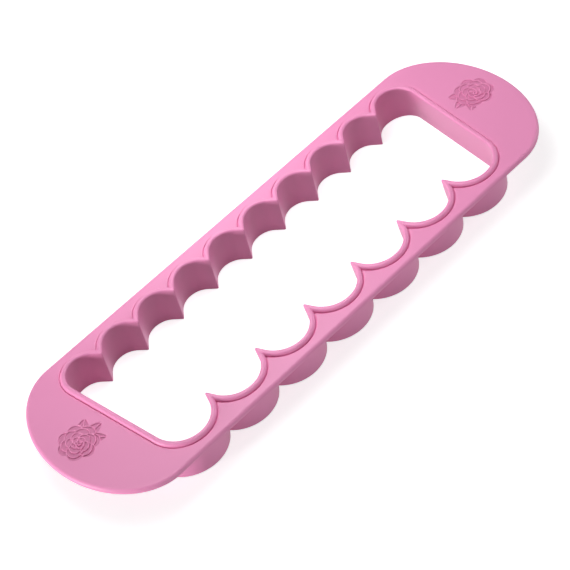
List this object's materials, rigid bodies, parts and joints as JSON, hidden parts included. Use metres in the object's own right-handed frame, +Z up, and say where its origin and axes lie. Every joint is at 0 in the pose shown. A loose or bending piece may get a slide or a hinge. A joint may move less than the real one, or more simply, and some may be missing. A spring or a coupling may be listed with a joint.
{
  "type": "petal strip cutter",
  "caption": "Flat plastic pastry cutter with a long scalloped opening, large petals along one side, small ones along the other, and a rounded grip at each end.",
  "frame": {"origin": "on the table under the middle of the grip plate, in the plane of the cutting edges", "axes": "+X along the strip, +Y towards the small petals, +Z up from the cutting edges to the plate"},
  "size_m": [0.2828, 0.0884, 0.0201],
  "materials": {
    "plastic": "satin moulded plastic"
  },
  "bodies": {
    "root": {"grip_left": "plastic", "grip_right": "plastic", "rail_large_petals": "plastic", "rail_small_petals": "plastic", "blade_large_01": "plastic", "blade_large_02": "plastic", "blade_large_03": "plastic", "blade_large_04": "plastic", "blade_large_05": "plastic", "blade_large_06": "plastic", "blade_large_07": "plastic", "blade_small_01": "plastic", "blade_small_02": "plastic", "blade_small_03": "plastic", "blade_small_04": "plastic", "blade_small_05": "plastic", "blade_small_06": "plastic", "blade_small_07": "plastic", "blade_small_08": "plastic", "blade_small_09": "plastic", "blade_small_10": "plastic", "blade_end_left": "plastic", "blade_end_right": "plastic"}
  },
  "joints": []
}
